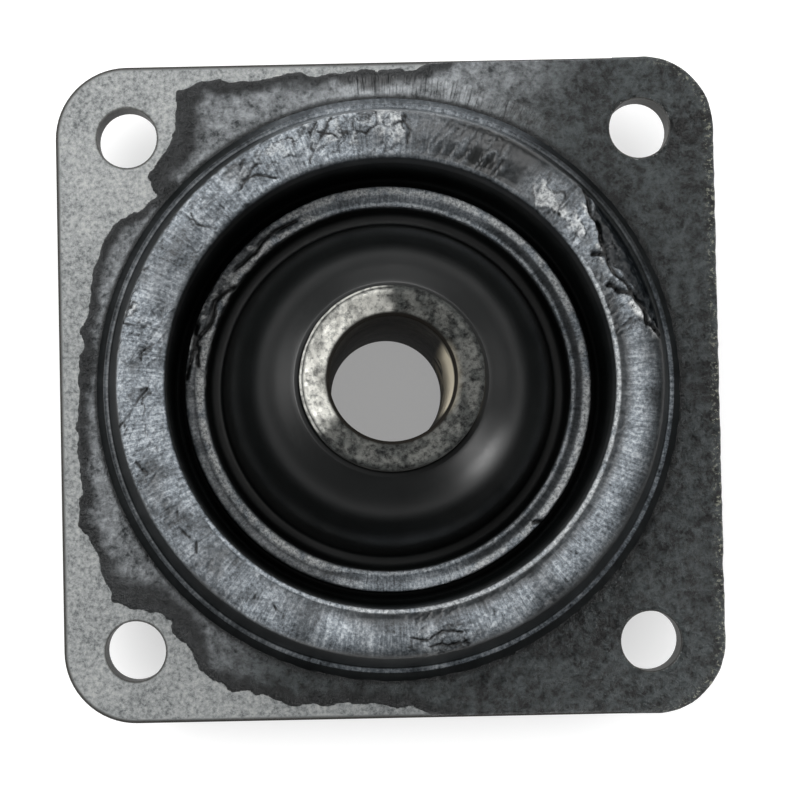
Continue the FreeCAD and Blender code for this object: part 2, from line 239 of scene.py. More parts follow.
def rounded_path(corners):
    """A closed outline as points. Each corner is (radius, height, corner radius, spacing of what follows)."""
    places = [np.array(corner[:2], float) for corner in corners]
    points = []
    for index, (_, _, rounding, spacing) in enumerate(corners):
        here, after = places[index], places[(index + 1) % len(corners)]
        if rounding == 0:
            points.append((here, spacing))
            continue
        fine = min(spacing, corners[index - 1][3], 0.3)
        arc = round_corner(places[index - 1], here, after, rounding, fine)
        points += [(place, fine) for place in arc[:-1]] + [(arc[-1], spacing)]
    path = []
    for index, (here, spacing) in enumerate(points):
        run = points[(index + 1) % len(points)][0] - here
        pieces = max(1, round(np.linalg.norm(run) / spacing))
        path += [here + run * piece / pieces for piece in range(pieces)]
    return path


def edit_all():
    """Enter edit mode with the whole mesh selected."""
    bpy.ops.object.mode_set(mode="EDIT")
    bpy.ops.mesh.select_all(action="SELECT")


def sweep_profile(name, path, steps):
    """Draw a closed profile with extrudes and sweep it about the axis."""
    bpy.ops.mesh.primitive_plane_add(size=MM)
    piece = bpy.context.object
    piece.name = piece.data.name = name
    edit_all()
    bpy.ops.mesh.merge(type="CENTER")
    bpy.ops.transform.translate(value=(path[0][0] * MM, 0, path[0][1] * MM))
    for before, here in zip(path, path[1:]):
        move = ((here[0] - before[0]) * MM, 0, (here[1] - before[1]) * MM)
        bpy.ops.mesh.extrude_region_move(TRANSFORM_OT_translate={"value": move})
    bpy.ops.mesh.select_all(action="SELECT")
    bpy.ops.mesh.edge_face_add()
    bpy.ops.mesh.delete(type="ONLY_FACE")
    bpy.ops.object.mode_set(mode="OBJECT")
    bpy.ops.object.modifier_add(type="SCREW")
    sweep = piece.modifiers[-1]
    sweep.axis = "Z"
    sweep.angle = 2 * math.pi
    sweep.steps = sweep.render_steps = steps
    sweep.use_merge_vertices = True
    sweep.merge_threshold = 0.002 * MM
    bpy.ops.object.modifier_apply(modifier=sweep.name)
    edit_all()
    bpy.ops.mesh.normals_make_consistent(inside=False)
    bpy.ops.object.mode_set(mode="OBJECT")
    bpy.ops.object.shade_smooth()
    piece.select_set(False)
    print(f"{name}: {len(path)} points swept into {len(piece.data.polygons)} faces")
    return piece


corner = round_corner(np.array([1.0, 0.0]), np.zeros(2), np.array([0.0, 1.0]), 0.5, 0.1)
print("a corner rounded by 0.5 mm takes", len(corner), "points")

# %% Reading and moving vertices
def read_points(piece):
    """The piece's vertices in millimetres, one row each."""
    flat = np.zeros(len(piece.data.vertices) * 3)
    piece.data.vertices.foreach_get("co", flat)
    return flat.reshape(-1, 3) / MM


def write_points(piece, points):
    piece.data.vertices.foreach_set("co", (points * MM).ravel())
    piece.data.update()


def paint(piece, **painted):
    """Keep values from 0 to 1 at each vertex, for the piece's material to read."""
    for name, values in painted.items():
        layer = piece.data.attributes.new(name, "FLOAT", "POINT")
        layer.data.foreach_set("value", np.clip(values, 0, 1).astype(np.float32))


def polar(points):
    """Angle in degrees from +X, from 0 to 360, and radius in millimetres."""
    angle = np.degrees(np.arctan2(points[:, 1], points[:, 0])) % 360
    return angle, np.hypot(points[:, 0], points[:, 1])


def turn_between(angle, start, end):
    """Degrees inside the stretch from start to end, negative outside it."""
    middle, half = (start + end) / 2, (end - start) / 2
    return half - np.abs((angle - middle + 180) % 360 - 180)


def stretch(angle, start, end, low, high):
    """1 in the stretch from start to end, and a fade from low to high degrees inside its ends."""
    return fade(turn_between(angle, start, end), low, high)


print("angle and radius of x 0, y 5:", *polar(np.array([[0.0, 5.0, 0.0]])))

# %% [markdown]
# ## The snubbing ring
#
# The ring stands on the plate and stops the engine's bracket when it kicks. It is solid rubber and the most
# worn part of the mount, so it gets the finest mesh: a vertex each fifth of a millimetre round the top. The
# profile runs from the groove's floor up the inner wall, over the crowned top, down the flank to a small
# bead, and closes inside the rubber.

# %% Spin the ring
LIP_OUTER_RAD = 23.7
GROOVE_FLOOR = PLATE_TOP - 2.0
RING_INNER_RAD = 25.1
RING_TOP_RAD = 30.4
RING_TOP = PLATE_TOP + 9.8
BEAD_TOP = PLATE_TOP + 2.6
RING_BASE_RAD = 34.2
WINDOW_RAD = 27.0
SPLIT_RAD = (LIP_OUTER_RAD + RING_INNER_RAD) / 2

ring_outline = [
    (SPLIT_RAD, GROOVE_FLOOR, 0, 0.4),
    (RING_INNER_RAD, GROOVE_FLOOR, 0.3, 0.9),
    (RING_INNER_RAD + 0.05, RING_TOP + 0.02, 0.4, 0.16),
    (26.2, RING_TOP - 0.1, 0.8, 0.16),
    (27.9, RING_TOP + 0.25, 4.0, 0.16),
    (RING_TOP_RAD + 0.1, RING_TOP - 0.25, 1.7, 0.35),
    (32.4, BEAD_TOP - 0.35, 0.4, 0.12),
    (32.75, BEAD_TOP + 0.05, 0.18, 0.12),
    (33.05, BEAD_TOP - 0.5, 0.25, 0.4),
    (RING_BASE_RAD, PLATE_TOP, 0, 9.0),
    (WINDOW_RAD, PLATE_TOP, 0, 9.0),
    (WINDOW_RAD, 0, 0, 9.0),
    (SPLIT_RAD, 0, 0, 9.0),
]
RING_STEPS = 960
ring = sweep_profile("rubber_ring", rounded_path(ring_outline), RING_STEPS)

# %% [markdown]
# ## Wear on the ring
#
# Four kinds of damage sit on the ring. A chunk is torn from its outer edge, with a crumpled flap left
# beside it. Flakes have lifted in ragged patches with dark cracks round them. Longer cracks run across it.
# And the whole top is scuffed, with fine marks that run outwards. Each is a region of angle and radius with
# an edge that noise makes ragged. It moves the vertices down or up, and is painted for the material. The
# scuff value also carries painted light: highlights on the ridges and the bead, a lighter north flank, and
# painted shade on the south-east shoulder.

# %% Cracks as broken lines
def off_line(place, run):
    """Distance from each place to the straight line that runs from the origin to run."""
    part = np.clip(place @ run / (run @ run), 0, 1)
    return np.linalg.norm(place - part[:, None] * run, axis=1)


def crack_depth(points, lines, width, seed):
    """How deep in a crack each point lies, from 0 to 1. Each line is a list of (angle, radius)."""
    angle, radius = polar(points)
    wander = ripple(points, 2.1, seed, 3, 1.1)
    depth = np.zeros(len(points))
    for line in lines:
        for (turn_a, rad_a), (turn_b, rad_b) in zip(line, line[1:]):
            middle = (turn_a + turn_b) / 2
            along = np.radians((angle - middle + 180) % 360 - 180) * radius
            scale = (rad_a + rad_b) / 2
            start = np.array([math.radians(turn_a - middle) * scale, rad_a])
            end = np.array([math.radians(turn_b - middle) * scale, rad_b])
            run = end - start
            place = np.stack([along + wander, radius + wander], axis=1) - start
            off = off_line(place, run)
            depth = np.maximum(depth, 1 - fade(off, width * 0.35, width))
    return depth


CRACK_WIDTH, CRACK_DEPTH = 0.20, 0.3
EDGE_CRACK_WIDTH, EDGE_CRACK_DEPTH = 0.42, 0.9
RING_CRACKS = [
    [(84.5, 26.8), (84, 28.2), (85.5, 29.2), (85, 30.6)],
    [(85.5, 29.2), (88.5, 28.3), (91.5, 28.8), (94.5, 28), (97.5, 28.6), (99, 30.4)],
    [(91.5, 28.8), (92, 30.5)],
    [(101.5, 30.6), (104, 29.2), (106.5, 27.9), (109.5, 26.4)],
    [(104.5, 30.3), (107.5, 28.7), (111, 27.2)],
    [(119.5, 28.4), (123, 28), (127, 27.2)],
    [(97.5, 28.6), (100.5, 27.6), (102.5, 28.8), (105, 29.2)],
    [(101, 26.6), (104, 27.6), (108, 28.3)],
    [(118, 26.2), (121.5, 27.5), (125, 28)],
    [(121.5, 29.6), (126, 28.8), (130, 27.3)],
    [(137.5, 26), (139, 27.6), (138.4, 29.2)],
    [(164.5, 27.2), (166.5, 28.4), (165.5, 30.4)],
    [(169.5, 26.6), (172, 28), (174.5, 27.4)],
    [(180, 26.9), (182.5, 28), (185.5, 29.1), (188, 30.6)],
    [(196, 29.6), (199.5, 28.9)],
    [(210, 27.6), (213, 28.3), (216.5, 28.1)],
    [(218.5, 28), (220, 28.6)],
    [(241.5, 28), (244, 28.9)],
    [(274, 28.6), (277.5, 29.2), (281, 28.3), (285.5, 29)],
    [(278, 29.9), (282, 29.6), (286, 30.1)],
]
EDGE_CRACKS = [
    [(43.5, 30.6), (40, 29.6), (36, 29.2), (33, 28.4), (28, 27.9), (24, 28)],
    [(24, 28), (20.5, 28.6), (17, 29.2), (12, 29.4), (9, 30.7)],
    [(30, 28), (31.5, 26.9)],
    [(19, 28.9), (20.5, 27.4), (23, 26.7)],
]
print(len(RING_CRACKS), "cracks across the ring and", len(EDGE_CRACKS), "round the torn chunk")

# %% Regions of the ring
# Each patch is (start angle, end angle, inner radius, outer radius, rise in mm, paleness).
RING_PATCHES = [
    (86, 98, 27.2, 30.4, 0.16, 0.60),
    (99.5, 107, 27.4, 30.4, 0.10, 0.50),
    (110, 118.5, 27.6, 29.8, 0.10, 0.40),
    (119.5, 127, 27, 29.4, -0.14, 0.15),
    (140, 164.5, 26.2, 30.2, -0.20, 0),
    (160.5, 165, 28.9, 30.5, 0.12, 0.8),
    (181.5, 196, 27.4, 30.2, -0.10, 0),
    # This patch's pale smear along the ring is partly a painted glint.
    (36, 52, 26.4, 27.9, 0.12, 0.65),
    (274.5, 285.5, 27.8, 30.6, -0.12, 0.1),
]

# Crumpled stretches of the top are (start angle, end angle, strength).
CRUMPLED = [
    (8, 50, 0.9), (60, 84, 0.35), (84, 112, 1.0), (112, 140, 0.6), (158, 176, 0.9), (176, 214, 0.45),
    (214, 250, 0.25), (272, 290, 0.7), (290, 360, 0.3),
]

# How grey the top is painted, from turn to turn: part rubbing and part painted light, brightest on the worn
# west side.
TONE_TURNS = [0, 20, 45, 57, 70, 82, 98, 108, 125, 148, 162, 180, 205, 231, 255, 278, 300, 320, 340, 360]
TONE_LEVELS = [0.88, 1.05, 1.30, 0.06, 0.14, 0.32, 1.45, 1.70, 1.42, 0.68, 0.85, 1.65, 0.96, 0.74, 1.12, 0.78,
               1.15, 1.60, 1.45, 0.88]
# The chunk tore away outside this line, which is a radius at each turn.
TEAR_TURNS = [9, 14, 20, 26, 32, 38, 44]
TEAR_RADII = [30.9, 29.4, 28.7, 28.1, 28.3, 29.3, 30.9]
TEAR_DEPTH = 1.1
# A painted highlight along the bead round the foot, from turn to turn.
BEAD_TURNS = [0, 25, 80, 120, 240, 290, 330, 360]
BEAD_LEVELS = [0.6, 0.10, 0.2, 0.22, 0.25, 0.8, 1.0, 0.6]
print(len(RING_PATCHES), "patches and", len(CRUMPLED), "crumpled stretches on the ring")

# %% Flakes and the torn chunk
def patch_inside(points, patch, seed):
    """Millimetres inside a ragged patch, negative outside it."""
    start, end, inner, outer = patch[:4]
    angle, radius = polar(points)
    sideways = np.radians(turn_between(angle, start, end)) * radius
    inwards = (outer - inner) / 2 - np.abs(radius - (outer + inner) / 2)
    return np.minimum(sideways, inwards) + ripple(points, 1.4, seed, 4, 3.0)


def add_flakes(points, face, wear):
    """Raise or sink each patch, crack parts of its border and pale parts of its face."""
    for index, patch in enumerate(RING_PATCHES):
        rise, paleness = patch[4:]
        depth = patch_inside(points, patch, 40 + index)
        inside = fade(depth, 0.0, 0.22) * face
        rough = ripple(points, 0.9, 70 + index, 3, 0.35)
        wear["drop"] -= inside * (rise + rough * abs(rise) * 3)
        border = (1 - fade(np.abs(depth), 0.02, 0.18)) * face
        wear["crack"] = np.maximum(wear["crack"], border * patches(points, 1.7, 90 + index, 2, 0.38, 0.62))
        pale = inside * paleness * patches(points, 1.2, 110 + index, 3, 0.34, 0.6)
        wear["pale"] = np.maximum(wear["pale"], pale)


def tear_chunk(points, on_top, face, wear):
    """Sink the torn chunk in the outer edge, and crumple the flap left along its line."""
    angle, radius = polar(points)
    tear_edge = np.interp(angle, TEAR_TURNS, TEAR_RADII)
    inside_turn = turn_between(angle, TEAR_TURNS[0], TEAR_TURNS[-1])
    ragged = ripple(points, 1.3, 11, 3, 1.3)
    torn = fade(radius - tear_edge + ragged, 0.0, 0.5) * fade(inside_turn, 0, 1.2) * on_top
    floor = TEAR_DEPTH + 0.5 * np.clip(radius - tear_edge, 0, 3) + ripple(points, 0.8, 13, 3, 1.5)
    wear["drop"] += torn * floor
    off_line = np.abs(radius - tear_edge + ragged + 0.6)
    flap = (1 - fade(off_line, 0.15, 0.8)) * fade(inside_turn, -1, 2)
    wear["drop"] -= flap * face * noise(points, 1.0, 15, 2) * 0.45
    # The flap's pale crumpled edge is partly a painted highlight.
    wear["pale"] = np.maximum(wear["pale"], flap * face * patches(points, 0.9, 17, 3, 0.42, 0.62))
    wear["torn"] = torn


print("the chunk tears away from", TEAR_TURNS[0], "to", TEAR_TURNS[-1], "degrees")

# %% Cracks and crumpled rubber
CREASE_SLANT = math.radians(52.0)


def open_cracks(points, face, wear):
    """Cut the drawn cracks, broken up by noise, into the top."""
    lines = crack_depth(points, RING_CRACKS, CRACK_WIDTH, 21) * face * patches(points, 2.2, 22, 2, 0.25, 0.5)
    edges = crack_depth(points, EDGE_CRACKS, EDGE_CRACK_WIDTH, 23) * face
    wear["crack"] = np.maximum(wear["crack"], np.maximum(lines, edges))
    wear["drop"] += lines * CRACK_DEPTH + edges * EDGE_CRACK_DEPTH


def crumple_top(points, face, wear):
    """Fold creases into the crumpled stretches, and return how their crests are painted: lighter where
    rubbed, with a painted highlight, and a little darker between them as painted shade.
    """
    angle, _ = polar(points)
    crumple = np.zeros(len(points))
    for start, end, strength in CRUMPLED:
        zone = fade(turn_between(angle, start, end) + ripple(points, 4.0, 25, 2, 8), 0, 4)
        crumple = np.maximum(crumple, zone * strength)
    crumple *= face
    x, y, height = points.T
    along = x * math.cos(CREASE_SLANT) + y * math.sin(CREASE_SLANT)
    across = y * math.cos(CREASE_SLANT) - x * math.sin(CREASE_SLANT)
    strokes = np.column_stack([along * 0.28, across, height * 0.5])
    creases = veins(strokes, 0.8, 27)
    fine_creases = veins(points, 0.8, 28)
    wear["drop"] -= crumple * (
        fade(creases, 0.50, 0.95) * 0.20 + fade(fine_creases, 0.6, 1.0) * 0.08)
    split = fade(veins(strokes + 7, 1.0, 29), 0.93, 0.99) * crumple
    wear["drop"] += split * 0.25
    wear["crack"] = np.maximum(wear["crack"], split * 0.75)
    wear["drop"] += ripple(points, 2.6, 31, 4, 0.22) * face
    wear["drop"] += ripple(points, 0.5, 33, 2, 0.05) * face
    # Crests painted lighter, partly rubbing and partly painted highlight; the rest a little darker as painted
    # shade.
    return 0.55 * face * crumple * (fade(creases, 0.75, 1.0) - 0.25)


print(f"creases lie at {math.degrees(CREASE_SLANT):.0f} degrees to +X")

# %% Scuffs, painted highlights and painted shade on the top and the flank
def scuff_top(points, face, torn, rubbed_creases):
    """How rubbed and how lit the top is painted, where painted shade lies on its shoulder, and where a
    painted highlight lies on its inner ridge.
    """
    angle, radius = polar(points)
    dents = patches(points, 3.4, 35, 3, 0.46, 0.68)
    polish = patches(points, 5.5, 36, 3, 0.42, 0.66)
    tone = np.interp(angle, TONE_TURNS, TONE_LEVELS)
    scuff = face * (0.74 + 0.26 * polish - 0.40 * dents) * tone * (1 - 0.7 * torn)
    scuff += rubbed_creases
    south_east = stretch(angle, 243, 398, 0, 20)
    south = stretch(angle, 236, 322, 0, 25)
    # Painted shade in the dip just inside the inner edge, on the south-east side.
    hollow = fade(radius, 25.35, 25.65) * (1 - fade(radius, 26.1, 27.4))
    scuff *= 1 - 0.85 * south_east * hollow
    # Painted shade on the outer shoulder of the top, on the south-east side; it also dulls reflections there.
    shoulder = south_east * fade(radius - 0.7 * south, 27.3, 30.6)
    scuff *= 1 - 0.95 * shoulder
    # Painted shade on the outer rounding at the north-east.
    outer_edge = fade(radius, RING_TOP_RAD - 1.9, RING_TOP_RAD - 0.2)
    scuff *= 1 - 0.60 * outer_edge * stretch(angle, 30, 78, 0, 8)
    # A painted highlight along the outer edge of the top on the west side, broken up by noise.
    worn_edge = stretch(angle, 122, 250, 0, 15) * fade(radius, 28.7, 29.3)
    worn_edge *= 1 - fade(radius, 30.3, 30.6)
    scuff += 0.35 * worn_edge * patches(points, 2.3, 39, 3, 0.35, 0.55)
    # Painted highlight: a bright line on the rounded inner ridge, strongest away from the north; on the
    # south-east it is also painted pale.
    ridge = fade(points[:, 2], RING_TOP - 0.45, RING_TOP - 0.1) * (1 - fade(radius, 25.55, 25.8))
    scuff = np.maximum(scuff, 0.95 * ridge * (0.25 + 0.75 * stretch(angle, 170, 400, -10, 10)))
    return scuff, shoulder, 0.6 * ridge * south_east


def scuff_flank(points, scuff, shoulder):
    """Add the flank: dark, with painted light on its north side and a painted highlight along the bead; and
    find where soot dulls the ring.
    """
    angle, radius = polar(points)
    flank = fade(radius, RING_TOP_RAD - 0.1, RING_TOP_RAD + 0.35)
    north = stretch(angle, 48, 124, 0, 25)
    bead = fade(radius, 32.3, 32.45) * (1 - fade(radius, 32.8, 32.95))
    bead *= 0.45 + 0.9 * noise(points, 2.5, 37, 2)
    # Painted light: the north side of the flank lighter, and a painted highlight on the bead that changes
    # round the turn.
    side = 0.02 + 0.42 * north + bead * np.interp(angle, BEAD_TURNS, BEAD_LEVELS)
    scuff = np.clip(scuff * (1 - flank) + side * flank, 0, 1)
    inner_wall = (1 - flank) * (points[:, 2] < RING_TOP - 2.5)
    sooty = flank * (1 - 0.8 * north) * (1 - 0.7 * np.clip(bead, 0, 1)) + inner_wall
    return scuff, np.maximum(sooty, shoulder)


def wear_ring(piece):
    """Tear, flake, crack and scuff the ring, and paint where each kind of wear lies, with painted highlights
    and painted shade.
    """
    points = read_points(piece)
    height = points[:, 2]
    on_top = fade(height, RING_TOP - 2.4, RING_TOP - 0.6)
    face = on_top * fade(polar(points)[1], RING_INNER_RAD - 0.1, RING_INNER_RAD + 0.9)
    wear = {name: np.zeros(len(points)) for name in ("drop", "pale", "crack")}
    add_flakes(points, face, wear)
    tear_chunk(points, on_top, face, wear)
    open_cracks(points, face, wear)
    rubbed_creases = crumple_top(points, face, wear)
    scuff, shoulder, silver = scuff_top(points, face, wear["torn"], rubbed_creases)
    scuff, sooty = scuff_flank(points, scuff, shoulder)
    points[:, 2] = np.maximum(height - wear["drop"], np.where(face > 0, BEAD_TOP, height - 1))
    write_points(piece, points)
    # The pale value also carries the painted highlight on the inner ridge.
    pale = np.maximum(wear["pale"], silver * patches(points, 2.0, 38, 3, 0.30, 0.55))
    crack, torn = wear["crack"], wear["torn"]
    paint(piece, pale=pale * (1 - crack), crack=crack, scuff=scuff, torn=torn, sooty=sooty)
    print(f"{piece.name}: {int((torn > 0.5).sum())} vertices torn, {int((crack > 0.5).sum())} in cracks")


wear_ring(ring)

# %% [markdown]
# ## The dome, the moat and the lip
#
# Between the sleeve and the ring the rubber is a soft spring: a smooth dome, a round moat, and a lip that
# stands a little above the plate. The underside closes round the sleeve's lower end. It is spun in the same
# way, with fewer steps because the surface is smooth.

# %% Spin the dome, moat and lip
RIM_RAD = SLEEVE_RAD + 0.6
LIP_INNER_RAD = 21.5
LIP_TOP = PLATE_TOP + 0.6
PILOT_RAD = 25.5
PILOT_FOOT = -3.0
FOOT_RAD = SLEEVE_RAD + 2.5

core_outline = [
    (SLEEVE_RAD - 0.05, RIM_TOP, 0, 0.3),
    (RIM_RAD, RIM_TOP, 0.25, 0.5),
    (14.6, 15.5, 10.0, 0.5),
    (17.75, 9.7, 18.0, 0.6),
    (19.55, 0.5, 0.35, 0.3),
    (20.95, 0.5, 0.6, 0.3),
    (LIP_INNER_RAD - 0.1, LIP_TOP, 0.35, 0.18),
    (22.5, LIP_TOP - 0.22, 1.2, 0.18),
    (LIP_OUTER_RAD, LIP_TOP + 0.05, 0.4, 0.5),
    (LIP_OUTER_RAD, GROOVE_FLOOR, 0.3, 0.4),
    (SPLIT_RAD, GROOVE_FLOOR, 0, 9.0),
    (SPLIT_RAD, 0, 0, 9.0),
    (PILOT_RAD, 0, 0, 0.8),
    (PILOT_RAD, PILOT_FOOT, 1.1, 0.8),
    (21.0, PILOT_FOOT, 1.5, 0.8),
    (FOOT_RAD, RUBBER_FOOT, 0.6, 0.8),
    (SLEEVE_RAD - 0.05, RUBBER_FOOT, 0, 9.0),
]
CORE_STEPS = 640
core = sweep_profile("rubber_dome", rounded_path(core_outline), CORE_STEPS)

# %% Tatters on the lip
LIP_TEAR_WIDTH, LIP_TEAR_DEPTH = 0.42, 0.5
LIP_TEARS = [
    [(118, 22.4), (126, 22.9), (133, 22.2), (141, 22.9)],
    [(146, 21.7), (152, 22.6), (158, 22), (165, 23), (172, 22.3)],
    [(160, 23.4), (168, 23.1), (176, 23.5)],
    [(316.5, 23.1), (318, 23.6)],
]


def wear_core(piece):
    """Tatter the lip on its worn side, and paint its scuffs, painted highlights along its edges, painted
    light on its north and south sides, and its crumbs.
    """
    points = read_points(piece)
    angle, radius = polar(points)
    height = points[:, 2]
    lip = fade(height, LIP_TOP - 1.3, LIP_TOP - 0.2)
    lip *= fade(radius, LIP_INNER_RAD - 0.6, LIP_INNER_RAD)
    worn_side = stretch(angle, 108, 184, 0, 8)
    tears = crack_depth(points, LIP_TEARS, LIP_TEAR_WIDTH, 51) * lip
    rough = ripple(points, 0.9, 53, 3, 1) * lip * (0.05 + 0.75 * worn_side)
    gentle = ripple(points, 5.0, 55, 2, 0.08) * (radius > SLEEVE_RAD + 1)
    drop = tears * LIP_TEAR_DEPTH + np.where(radius < SPLIT_RAD - 0.01, rough, 0) + gentle * (height > 0.05)
    points[:, 2] = np.minimum(height - drop, RIM_TOP)
    write_points(piece, points)
    # Painted light: a highlight line along each rounded edge of the lip, and lighter north and south sides.
    # The edge lines also go pale in places.
    west = stretch(angle, 118, 262, 0, 14)
    south = stretch(angle, 256, 292, -6, 10)
    north = stretch(angle, 55, 122, -6, 12)
    inner = 1 - fade(np.abs(radius - LIP_INNER_RAD + 0.05 - 0.5 * west), 0.15, 0.42 + 0.25 * west)
    outer = (1 - fade(np.abs(radius - LIP_OUTER_RAD + 0.55), 0.25, 0.62)) * (1 - 0.8 * west)
    rubbed = 0.14 + 0.45 * south + 0.35 * north + 0.95 * inner + 0.95 * outer
    silver = 0.75 * outer * (1 - south) + inner * (0.35 + 0.65 * west) + 0.9 * worn_side * inner
    crumbs = lip * worn_side * patches(points, 0.8, 57, 3, 0.52, 0.64)
    crumbs = np.maximum(crumbs, silver * patches(points, 1.3, 58, 3, 0.30, 0.55) * lip)
    scuff = lip * rubbed * (1.0 + ripple(points, 1.6, 59, 3, 0.9))
    none = np.zeros(len(points))
    paint(piece, pale=crumbs, crack=tears, scuff=scuff, torn=none, sooty=none)


wear_core(core)
print("lip tears:", len(LIP_TEARS))

# %% [markdown]
# ## The skin over the plate
#
# Where the mould closed on the plate, a film of rubber about half a millimetre thick spread out. It covers
# the right side and wraps round the plate's edge as flash, and it has peeled back on the left. A grid suits
# it: vertices off the rubber are deleted, and past the plate's edge the grid is bent down the side.

# %% The skin's ragged edge
# The line where bare steel begins, as (x, y): along the top, down the left side and along the bottom.
BARE_LINE = [
    (8, 39.2), (5, 37.8), (-1, 37.3), (-10, 37.1), (-16, 36.6), (-21, 36.4), (-24.2, 35.3),
    (-24.1, 31), (-25.4, 28.2), (-26.9, 27.4), (-27.8, 25.2), (-26.6, 23.2), (-28.2, 22.1), (-31, 20.8),
    (-33, 17.8), (-34.3, 14.1), (-35.3, 9), (-36.2, 2), (-36.5, -8), (-36.1, -15.2), (-34.6, -19.4),
    (-32.5, -24), (-30, -24.9), (-27.2, -26), (-24.1, -29.2), (-22.6, -32.2), (-18.8, -34.8),
    (-12.4, -36.5), (-6, -36.6), (2, -37.3), (7, -39.2),
]


def signed_distance(points, line):
    """Distance to an open line, negative on its left-hand side, for points in a plane."""
    nearest = np.full(len(points), 1e9)
    side = np.ones(len(points))
    for start, end in zip(line, line[1:]):
        start, run = np.array(start), np.array(end) - np.array(start)
        place = points - start
        off = off_line(place, run)
        closer = off < nearest - 1e-9
        cross = run[0] * place[:, 1] - run[1] * place[:, 0]
        side = np.where(closer, np.sign(cross), side)
        nearest = np.where(closer, off, nearest)
    return nearest * side


def beyond_plate(points):
    """Distance past the plate's outline, negative on the plate, and the outward direction there."""
    corner = np.maximum(np.abs(points) - HOLE_PLACE, 0)
    length = np.linalg.norm(corner, axis=1)
    flat = np.abs(points)
    side = np.zeros_like(points)
    side[np.arange(len(points)), flat.argmax(axis=1)] = 1
    outward = np.where(length[:, None] > 1e-9, corner / np.maximum(length, 1e-9)[:, None], side)
    past = np.where(length > 1e-9, length - CORNER_RAD, flat.max(axis=1) - PLATE_HALF)
    return past, outward * np.sign(points)


print(f"bare steel line of {len(BARE_LINE)} points")

# %% Model the skin
SKIN_THICK = 0.4
SKIN_INNER_RAD = 33.3
FLASH_DROP = 2.3
SKIN_HOLE_RAD = HOLE_RAD + 0.15
GRID_HALF = PLATE_HALF + FLASH_DROP + 0.6
GRID_CELL = 0.21


def delete_vertices(piece, doomed):
    """Delete only the marked vertices, in edit mode."""
    for part in (piece.data.polygons, piece.data.edges):
        part.foreach_set("select", np.zeros(len(part), bool))
    piece.data.vertices.foreach_set("select", doomed)
    bpy.context.view_layer.objects.active = piece
    bpy.ops.object.mode_set(mode="EDIT")
    bpy.ops.mesh.delete(type="VERT")
    bpy.ops.object.mode_set(mode="OBJECT")


def bare_distance(points):
    """Millimetres inside the skin's ragged edge, negative over bare steel."""
    return signed_distance(points[:, :2], BARE_LINE) + ripple(points, 1.9, 61, 4, 1.5)


def make_skin():
    """A fine grid over the plate, cut to the rubber's outline and drawn onto it."""
    cells = round(2 * GRID_HALF / GRID_CELL)
    bpy.ops.mesh.primitive_grid_add(x_subdivisions=cells, y_subdivisions=cells, size=2 * GRID_HALF * MM)
    piece = bpy.context.object
    piece.name = piece.data.name = "rubber_skin"
    points = read_points(piece)
    bare = bare_distance(points)
    past, outward = beyond_plate(points[:, :2])
    right = fade(points[:, 0] - np.abs(points[:, 1]) * 0.12, 22.0, 33.0)
    drop_limit = right * FLASH_DROP * (0.55 + 0.6 * noise(points, 1.5, 63, 2)) - 0.05
    hole_off = np.hypot(np.abs(points[:, 0]) - HOLE_PLACE, np.abs(points[:, 1]) - HOLE_PLACE)
    radius = np.hypot(points[:, 0], points[:, 1])
    half_cell = GRID_CELL * 0.55
    doomed = (bare < -half_cell) | (radius < SKIN_INNER_RAD) | (hole_off < SKIN_HOLE_RAD - half_cell)
    doomed |= past > drop_limit
    delete_vertices(piece, doomed)
    kept = ~doomed
    points, bare = points[kept], bare[kept]
    step = 0.05
    ahead = [bare_distance(points + move) - bare for move in ([step, 0, 0], [0, step, 0])]
    slope = np.stack(ahead, axis=1) / step
    slope /= np.maximum(np.linalg.norm(slope, axis=1), 0.3)[:, None]
    near = np.abs(bare) < half_cell
    points[near, :2] -= (slope * bare[:, None])[near]
    return piece, points, np.where(near, 0, bare), past[kept], outward[kept], right[kept], hole_off[kept]


